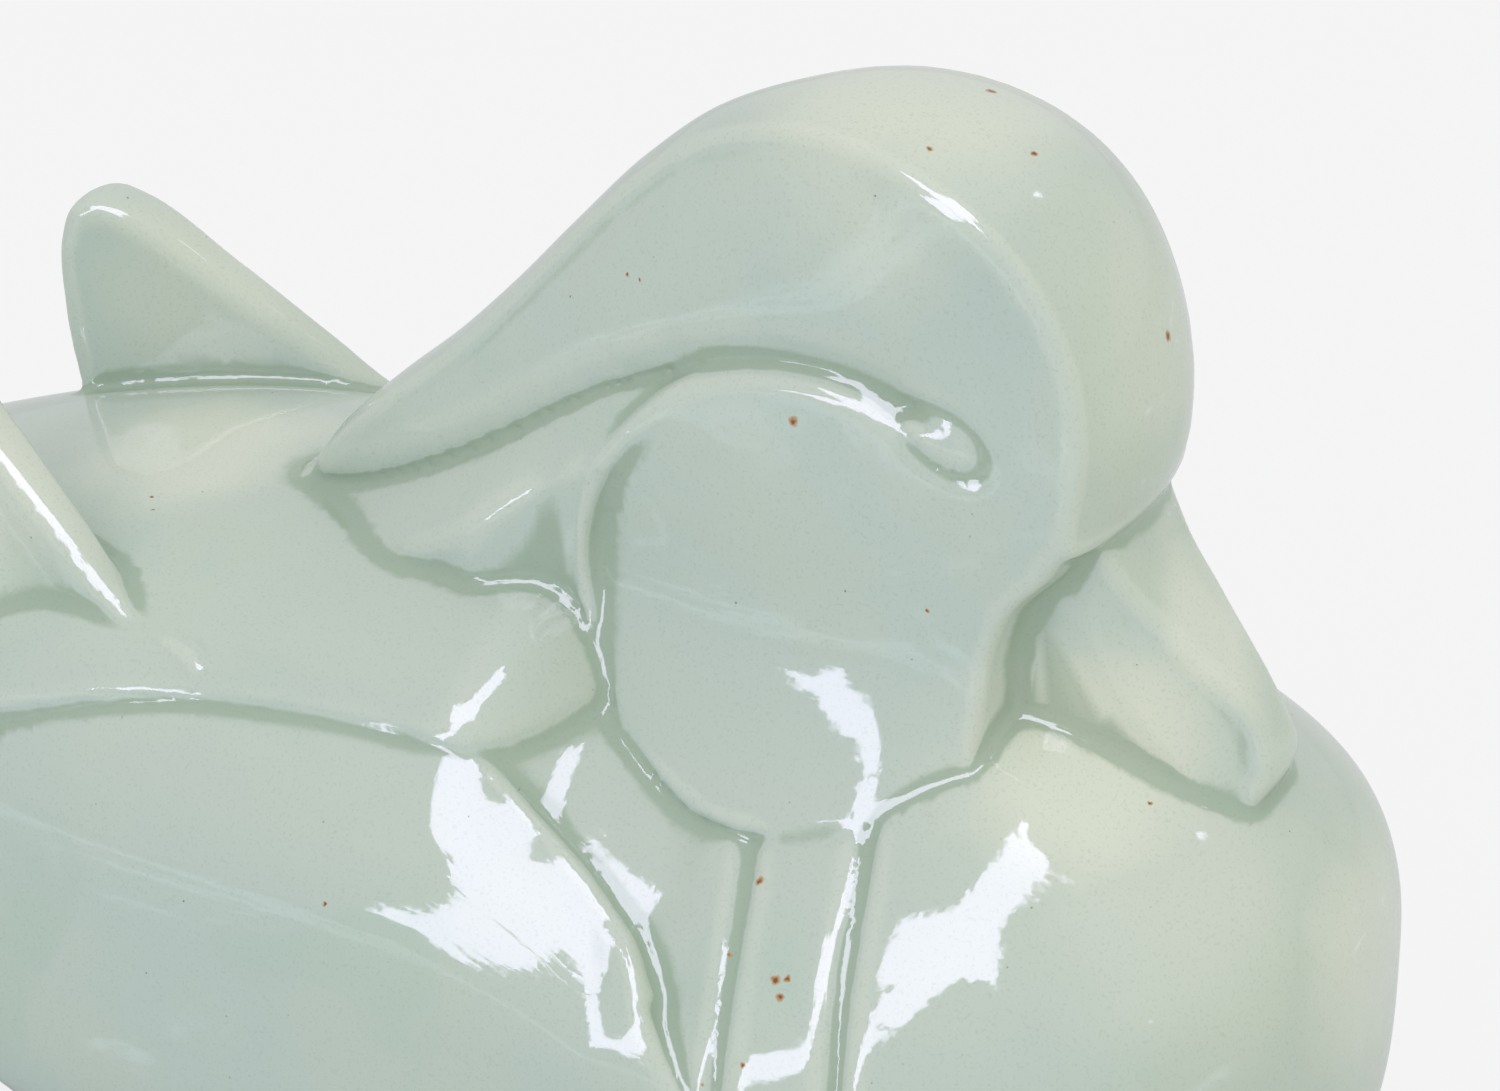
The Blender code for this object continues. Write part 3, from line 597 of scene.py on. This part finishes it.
lookup = KDTree(len(dense_points))
for number, point in enumerate(dense_points):
    lookup.insert(point, number)
lookup.balance()
nearest = np.array([lookup.find(point)[1] for point in points_of(mesh)])
for name, values in hollows.items():
    layer = mesh.attributes.new(name, "FLOAT", "POINT")
    layer.data.foreach_set("value", values[nearest].astype(np.float32))
mesh.polygons.foreach_set("use_smooth", np.ones(len(mesh.polygons), bool))


def linear(code):
    """Linear colour of an sRGB hex code."""
    parts = [int(code[i:i + 2], 16) / 255.0 for i in (0, 2, 4)]
    return [p / 12.92 if p <= 0.04045 else ((p + 0.055) / 1.055) ** 2.4 for p in parts] + [1.0]


def add(tree, kind, settings=None, links=None):
    """New node with its settings, and for each input a value, or a node or output to link."""
    node = tree.nodes.new(kind)
    for name, value in (settings or {}).items():
        setattr(node, name, value)
    for name, value in (links or {}).items():
        if isinstance(value, bpy.types.Node):
            value = next(output for output in value.outputs if output.enabled)
        if isinstance(value, bpy.types.NodeSocket):
            tree.links.new(value, node.inputs[name])
        else:
            node.inputs[name].default_value = value
    return node


# Celadon glaze: a thick, fully melted glaze over white porcelain, so its mirror is sharp and
# its colour soft and milky. The bump is the slow ripple that the melt leaves on the skin.
GLAZE_ROUGHNESS = 0.045
GLAZE_IOR = 1.5
SWELL_HEIGHT = 0.00016
RIPPLE_SHARE = 0.11
SKIN_SHARE = 0.035

# Patterns of the glaze: size of a wave in metres, detail, roughness and warp
PATTERNS = {
    "cloud": (0.050, 3.0, 0.55, 0.4),
    "green": (0.036, 3.0, 0.5, 0.6),
    "speckle": (0.00045, 1.0, 0.6, 0.0),
    "swell": (0.014, 1.0, 0.4, 0.0),
    "ripple": (0.0032, 1.0, 0.5, 0.0),
    "skin": (0.0012, 1.0, 0.5, 0.0),
}

# Pale creamy patches, in millimetres: place and reach, then how strong. They are partly glaze that
# ran thin, partly painted light that lightens the crown, brow, bill, back, sail tops and the breast
# under and in front of the bill.
THIN_GLAZE_AND_PAINTED_LIGHT = {
    "crown": ((62.0, 0.0, 172.0), 34.0, 0.80),
    "brow": ((97.0, 0.0, 146.0), 26.0, 0.40),
    "bill": ((106.0, -2.0, 101.0), 15.0, 0.80),
    "breast under the bill": ((96.0, -18.0, 86.0), 26.0, 1.00),
    "breast beside it": ((112.0, -24.0, 76.0), 30.0, 0.40),
    "breast in front": ((132.0, 4.0, 56.0), 26.0, 0.70),
    "back": ((-52.0, -2.0, 96.0), 24.0, 0.80),
    "near sail": ((-66.0, -36.0, 98.0), 22.0, 0.60),
    "far sail": ((-72.0, 26.0, 104.0), 22.0, 0.40),
}

# Iron specks that burned through the glaze, where the real figure has them, in millimetres:
# place, and radius of the rusty ring, whose core is darker
SPECKS = [((68.9, 6.7, 169.1), 0.9), ((68.4, -11.9, 167.8), 0.5), ((79.4, -3.3, 165.9), 0.6),
          ((97.4, 0.8, 141.8), 0.9), ((53.6, -21.4, 129.8), 0.8), ((59.3, -43.0, 72.3), 0.8),
          ((66.5, -53.1, 64.5), 0.8), ((68.0, -52.8, 64.9), 0.6), ((67.8, -54.5, 62.9), 0.7),
          ((58.6, -51.0, 65.2), 0.5), ((65.1, -60.1, 54.8), 0.5), ((59.8, -61.5, 51.1), 0.6),
          ((1.9, -60.1, 62.9), 0.4), ((26.0, -15.3, 143.1), 0.4), ((28.3, -16.1, 143.1), 0.3),
          ((-50.2, -17.2, 94.1), 0.4), ((-48.2, -20.2, 93.8), 0.3), ((74.2, -23.2, 107.1), 0.4),
          ((104.2, -16.7, 81.9), 0.4)]

# Noise that pushes the rims of these spots about: waves to the metre, detail, and how far
PATCH_PUSH = (45.0, 2.0, 0.020)
SPECK_PUSH = (1400.0, 1.0, 0.0007)

glaze = bpy.data.materials.new("celadon glaze, glossy")
glaze.use_nodes = True
tree = glaze.node_tree
tree.nodes.clear()
own = add(tree, "ShaderNodeTexCoord").outputs
place = own["Object"]
facing = add(tree, "ShaderNodeSeparateXYZ", None, {0: own["Normal"]}).outputs


def layered(under, value, low, high, strength, code):
    """A colour laid over another: none at the low value, eased up to a strength at the high one."""
    share = add(tree, "ShaderNodeMapRange", {"interpolation_type": "SMOOTHSTEP"},
                {"Value": value, "From Min": low, "From Max": high, "To Max": strength})
    return add(tree, "ShaderNodeMix", {"data_type": "RGBA"}, {0: share, 6: under, 7: linear(code)})


def spotted(under, spots, push, outer, inner, code):
    """A colour laid over another in round spots with rims that noise pushes about.

    Each spot fades in from outer to inner, as shares of its radius, and where spots overlap
    the strongest holds. The mean push is half the drift, so it is added to each centre.
    """
    scale, detail, drift = push
    waver = add(tree, "ShaderNodeTexNoise", None, {"Vector": place, "Scale": scale, "Detail": detail})
    bent = add(tree, "ShaderNodeVectorMath", {"operation": "MULTIPLY_ADD"},
               {0: waver.outputs["Color"], 1: (drift, drift, drift), 2: place})
    covered = 0.0
    for centre, radius, strength in spots:
        middle = [value / 1000.0 + drift / 2.0 for value in centre]
        gap = add(tree, "ShaderNodeVectorMath", {"operation": "DISTANCE"}, {0: bent, 1: middle})
        near = add(tree, "ShaderNodeMapRange", {"interpolation_type": "SMOOTHSTEP"},
                   {"Value": gap, "From Min": outer * radius / 1000.0,
                    "From Max": inner * radius / 1000.0, "To Max": strength})
        covered = add(tree, "ShaderNodeMath", {"operation": "MAXIMUM"}, {0: covered, 1: near})
    return add(tree, "ShaderNodeMix", {"data_type": "RGBA"},
               {0: covered, 6: under, 7: linear(code)})


noise = {}
for name, (size, detail, roughness, warp) in PATTERNS.items():
    noise[name] = add(tree, "ShaderNodeTexNoise", {"normalize": True},
                      {"Vector": place, "Scale": 1.0 / size, "Detail": detail,
                       "Roughness": roughness, "Distortion": warp})

# Grey-green all over with slow clouds, yellower in front, and pale creamy patches: partly thin glaze,
# partly painted light on the tops and on the breast under the bill.
colour = layered(linear("BFCFC7"), facing["Z"], -0.1, 0.95, 1.0, "C4CEC3")
colour = layered(colour, noise["cloud"], 0.42, 0.66, 0.40, "C9D3C2")
colour = layered(colour, noise["green"], 0.56, 0.72, 0.35, "B1C9B9")
colour = layered(colour, facing["X"], 0.25, 0.95, 0.55, "C3CDB4")
# Pale patches: partly thin glaze, partly painted light that lightens the tops and the breast by the
# bill.
colour = spotted(colour, THIN_GLAZE_AND_PAINTED_LIGHT.values(), PATCH_PUSH, 1.0, 1.0 / 3.5, "DDE1CF")

# Greener where it pooled in the carving, and creamy again on the edges.
fine = add(tree, "ShaderNodeAttribute", {"attribute_name": "fine_hollow"}).outputs["Fac"]
soft = add(tree, "ShaderNodeAttribute", {"attribute_name": "soft_hollow"}).outputs["Fac"]
colour = layered(colour, fine, 0.15, 1.1, 0.55, "8FA58A")
colour = layered(colour, soft, 0.15, 1.5, 0.22, "9DB39C")
colour = layered(colour, fine, -0.35, -1.6, 0.22, "E6E8D8")

# Fine grain of the porcelain under the glaze: grey speckle, drawn as coarse as it needs to
# show, and sparse dark pin spots, one in four cells of 3.3 mm.
colour = layered(colour, noise["speckle"], 0.54, 0.74, 0.17, "8C9A8C")
pins = add(tree, "ShaderNodeTexVoronoi", {"feature": "F1"}, {"Vector": place, "Scale": 300.0})
draw = add(tree, "ShaderNodeSeparateColor", None, {0: pins.outputs["Color"]}).outputs
chosen = add(tree, "ShaderNodeMath", {"operation": "GREATER_THAN"}, {0: draw["Red"], 1: 0.72})
depth = add(tree, "ShaderNodeMath", {"operation": "MULTIPLY"}, {0: draw["Green"], 1: 0.8})
depth = add(tree, "ShaderNodeMath", {"operation": "MULTIPLY"}, {0: chosen, 1: depth})
colour = layered(colour, pins.outputs["Distance"], 0.065, 0.035, depth, "5E5A4E")

rings = [(centre, radius, 0.85) for centre, radius in SPECKS]
cores = [(centre, radius, 0.90) for centre, radius in SPECKS]
colour = spotted(colour, rings, SPECK_PUSH, 1.1, 0.6, "B98A4A")
colour = spotted(colour, cores, SPECK_PUSH, 0.7, 0.2, "7A3A1C")

height = add(tree, "ShaderNodeMath", {"operation": "MULTIPLY_ADD"},
             {0: noise["ripple"], 1: RIPPLE_SHARE, 2: noise["swell"]})
height = add(tree, "ShaderNodeMath", {"operation": "MULTIPLY_ADD"},
             {0: noise["skin"], 1: SKIN_SHARE, 2: height})
bump = add(tree, "ShaderNodeBump", None,
           {"Strength": 1.0, "Distance": SWELL_HEIGHT, "Height": height})
surface = add(tree, "ShaderNodeBsdfPrincipled", None,
              {"Base Color": colour, "Roughness": GLAZE_ROUGHNESS, "IOR": GLAZE_IOR,
               "Normal": bump})
add(tree, "ShaderNodeOutputMaterial", None, {"Surface": surface})
mesh.materials.clear()
mesh.materials.append(glaze)

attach(duck, "root")
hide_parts("mandarin_duck")

# Stage: a pale sheet of seamless paper under the figure, which reads as a plain pale
# background, and soft studio boxes in front and above. The boxes' cloths stand by themselves,
# so that their mirror images can be placed apart from their light.
VIEW_AZIMUTH = 26.0
VIEW_ELEVATION = 27.0
VIEW_DISTANCE = 0.700
AIM = (0.03, 0.0, 0.09)
BOX_DISTANCE = 1.3
CLOTH_DISTANCE = 1.2
CLOTH_RAG = 0.22
CLOTH_FADE = 0.030


def paper(name, tone, lit, patches):
    """Matte paper, even to the camera, with ragged bright patches where the glaze mirrors it."""
    material = bpy.data.materials.new(name)
    material.use_nodes = True
    nodes = material.node_tree
    nodes.nodes.clear()
    path = add(nodes, "ShaderNodeLightPath").outputs
    even = add(nodes, "ShaderNodeEmission", None, {"Color": tone, "Strength": 1.04})
    matte = add(nodes, "ShaderNodeBsdfDiffuse", None, {"Color": lit})
    share = add(nodes, "ShaderNodeMath", {"operation": "MULTIPLY"},
                {0: path["Is Camera Ray"], 1: 0.90})
    mix = add(nodes, "ShaderNodeMixShader", None, {0: share, 1: matte, 2: even})
    spot = add(nodes, "ShaderNodeTexCoord").outputs["Object"]
    ragged = add(nodes, "ShaderNodeTexNoise", None,
                 {"Vector": spot, "Scale": 5.0, "Detail": 8.0, "Roughness": 0.72})
    away = add(nodes, "ShaderNodeVectorMath", {"operation": "DISTANCE"},
               {0: spot, 1: (-0.28, -0.75, 0.0)})
    reach = add(nodes, "ShaderNodeMapRange", None,
                {"Value": away, "From Min": 0.8, "From Max": 0.1, "To Max": 0.16})
    total = add(nodes, "ShaderNodeMath", {"operation": "ADD"}, {0: ragged, 1: reach})
    edge = add(nodes, "ShaderNodeMapRange", None,
               {"Value": total, "From Min": 0.60, "From Max": 0.64, "To Max": patches})
    bright = add(nodes, "ShaderNodeMath", {"operation": "MULTIPLY"},
                 {0: edge, 1: path["Is Glossy Ray"]})
    patch = add(nodes, "ShaderNodeEmission", None,
                {"Color": (0.72, 0.84, 1.0, 1.0), "Strength": bright})
    both = add(nodes, "ShaderNodeAddShader", None, {0: mix, 1: patch})
    add(nodes, "ShaderNodeOutputMaterial", None, {"Surface": both})
    return material


corners = np.array([[-6.0, -6.0, 0.0], [6.0, -6.0, 0.0], [6.0, 6.0, 0.0], [-6.0, 6.0, 0.0]])
floor_mesh = mesh_from("floor", corners, [np.array([[0, 1, 2, 3]])])
floor = shown("floor", floor_mesh)
floor_mesh.materials.append(paper("pale seamless paper, matte", linear("F3F3F3"),
                                  linear("E8E8E8"), 1.1))

# Room: even pale walls, a little bluer in the glaze's mirror, and plain to the camera.
scene = bpy.context.scene
world = bpy.data.worlds.new("studio")
scene.world = world
world.use_nodes = True
nodes = world.node_tree
nodes.nodes.clear()
path = add(nodes, "ShaderNodeLightPath").outputs
room = add(nodes, "ShaderNodeBackground", None,
           {"Color": (0.96, 0.98, 1.0, 1.0), "Strength": 0.74})
mirrored = add(nodes, "ShaderNodeBackground", None,
               {"Color": (0.92, 0.95, 1.0, 1.0), "Strength": 0.75})
seen = add(nodes, "ShaderNodeBackground", None, {"Color": linear("F3F3F3"), "Strength": 1.0})
inner = add(nodes, "ShaderNodeMixShader", None, {0: path["Is Glossy Ray"], 1: room, 2: mirrored})
outer = add(nodes, "ShaderNodeMixShader", None, {0: path["Is Camera Ray"], 1: inner, 2: seen})
add(nodes, "ShaderNodeOutputWorld", None, {"Surface": outer})


def toward(azimuth, elevation):
    """Unit vector from the duck, by degrees round from its right side to the bill, and up."""
    turn = math.radians(azimuth)
    rise = math.radians(elevation)
    level = math.cos(rise)
    return Vector((math.sin(turn) * level, -math.cos(turn) * level, math.sin(rise)))


def aimed(thing, direction, away, roll=0.0):
    """Set an object at a distance, turned to the duck."""
    thing.location = Vector(AIM) + direction * away
    turn = direction.to_track_quat("Z", "Y") @ Quaternion((0.0, 0.0, 1.0), math.radians(roll))
    thing.rotation_euler = turn.to_euler()
    return thing


def soft_light(name, azimuth, elevation, wide, high, glow):
    """Soft box that lights the matte depth of the glaze and shows no mirror image."""
    light = bpy.data.lights.new(name, "AREA")
    light.shape = "RECTANGLE"
    light.size = wide
    light.size_y = high
    light.energy = glow * math.pi * wide * high
    box = aimed(shown(name, light), toward(azimuth, elevation), BOX_DISTANCE)
    box.visible_glossy = False


def front_cloth(name, azimuth, elevation, wide, high, roll, sides=4):
    """Front of a soft box as the glaze mirrors it: a glowing cloth with a ragged rim.

    Its corners lie on an ellipse, so four sides give a rectangle and sixteen a round lamp,
    whose rim isn't ragged. The mesh carries its own half sizes for the material.
    """
    spin = (np.arange(sides) + 0.5) * 2.0 * np.pi / sides
    reach = 0.5 / np.cos(np.pi / sides)
    points = np.column_stack([reach * wide * np.cos(spin), reach * high * np.sin(spin), 0.0 * spin])
    cloth_mesh = mesh_from(name, points, [np.arange(sides)[None]])
    cloth_mesh.materials.append(glow)
    rag = CLOTH_RAG if sides == 4 else 0.0
    sizes = {"half_wide": 0.5 * wide, "half_high": 0.5 * high, "ragged": rag}
    for title, value in sizes.items():
        layer = cloth_mesh.attributes.new(title, "FLOAT", "POINT")
        layer.data.foreach_set("value", np.full(sides, value, np.float32))
    cloth = aimed(shown(name, cloth_mesh), toward(azimuth, elevation), CLOTH_DISTANCE, roll)
    cloth.visible_camera = False
    cloth.visible_diffuse = False
    cloth.visible_shadow = False


# Cloth of the soft boxes: glows evenly in the middle, and fades out raggedly at its rim, so
# that its image in the rippled glaze has a torn outline.
glow = bpy.data.materials.new("soft box cloth, glowing")
glow.use_nodes = True
tree = glow.node_tree
tree.nodes.clear()
on_cloth = add(tree, "ShaderNodeTexCoord").outputs["Object"]
away = add(tree, "ShaderNodeVectorMath", {"operation": "ABSOLUTE"}, {0: on_cloth})
away = add(tree, "ShaderNodeSeparateXYZ", None, {0: away}).outputs
inward = {}
for title, axis in (("half_wide", "X"), ("half_high", "Y")):
    half = add(tree, "ShaderNodeAttribute", {"attribute_name": title}).outputs["Fac"]
    inward[axis] = add(tree, "ShaderNodeMath", {"operation": "SUBTRACT"}, {0: half, 1: away[axis]})
inward = add(tree, "ShaderNodeMath", {"operation": "MINIMUM"}, {0: inward["X"], 1: inward["Y"]})
rag = add(tree, "ShaderNodeAttribute", {"attribute_name": "ragged"}).outputs["Fac"]
torn = add(tree, "ShaderNodeTexNoise", {"normalize": True},
           {"Vector": on_cloth, "Scale": 1.0 / 0.080, "Detail": 4.0, "Roughness": 0.6})
torn = add(tree, "ShaderNodeMath", {"operation": "SUBTRACT"}, {0: torn, 1: 0.57})
torn = add(tree, "ShaderNodeMath", {"operation": "MULTIPLY_ADD"}, {0: torn, 1: rag, 2: inward})
cover = add(tree, "ShaderNodeMapRange", {"interpolation_type": "SMOOTHSTEP"},
            {"Value": torn, "From Min": 0.0, "From Max": CLOTH_FADE})
shine = add(tree, "ShaderNodeEmission", None,
            {"Color": (0.82, 0.76, 1.0, 1.0), "Strength": 11.0})
bare = add(tree, "ShaderNodeBsdfTransparent")
worn = add(tree, "ShaderNodeMixShader", None, {0: cover, 1: bare, 2: shine})
add(tree, "ShaderNodeOutputMaterial", None, {"Surface": worn})

# Cloths and lamps, by their direction in degrees, size in metres and roll.
front_cloth("upper cloth", 2.9, 53.5, 0.41, 0.81, -83.6)
front_cloth("side cloth", 12.6, 57.7, 0.37, 1.36, -36.8)
front_cloth("front cloth", -14.4, 17.8, 0.73, 0.24, 59.7)
front_cloth("rear lamp", 130.0, 50.0, 0.060, 0.060, 0.0, 16)
front_cloth("right lamp", 66.0, 19.0, 0.04, 0.04, 0.0, 16)
soft_light("top light", 75.0, 60.0, 1.2, 1.2, 0.90)
soft_light("key light", -12.0, 25.0, 1.0, 0.8, 0.8)

# Camera: close to the bird, from above its right side, turned to the head.
back_vector = toward(VIEW_AZIMUTH, VIEW_ELEVATION)
camera_data = bpy.data.cameras.new("camera")
camera_data.lens = 126.0
camera_data.sensor_width = 36.0
camera = shown("camera", camera_data)
camera.location = Vector((0.049, -0.025, 0.112)) + VIEW_DISTANCE * back_vector
camera.rotation_euler = back_vector.to_track_quat("Z", "Y").to_euler()
scene.camera = camera
scene.view_settings.view_transform = "Standard"
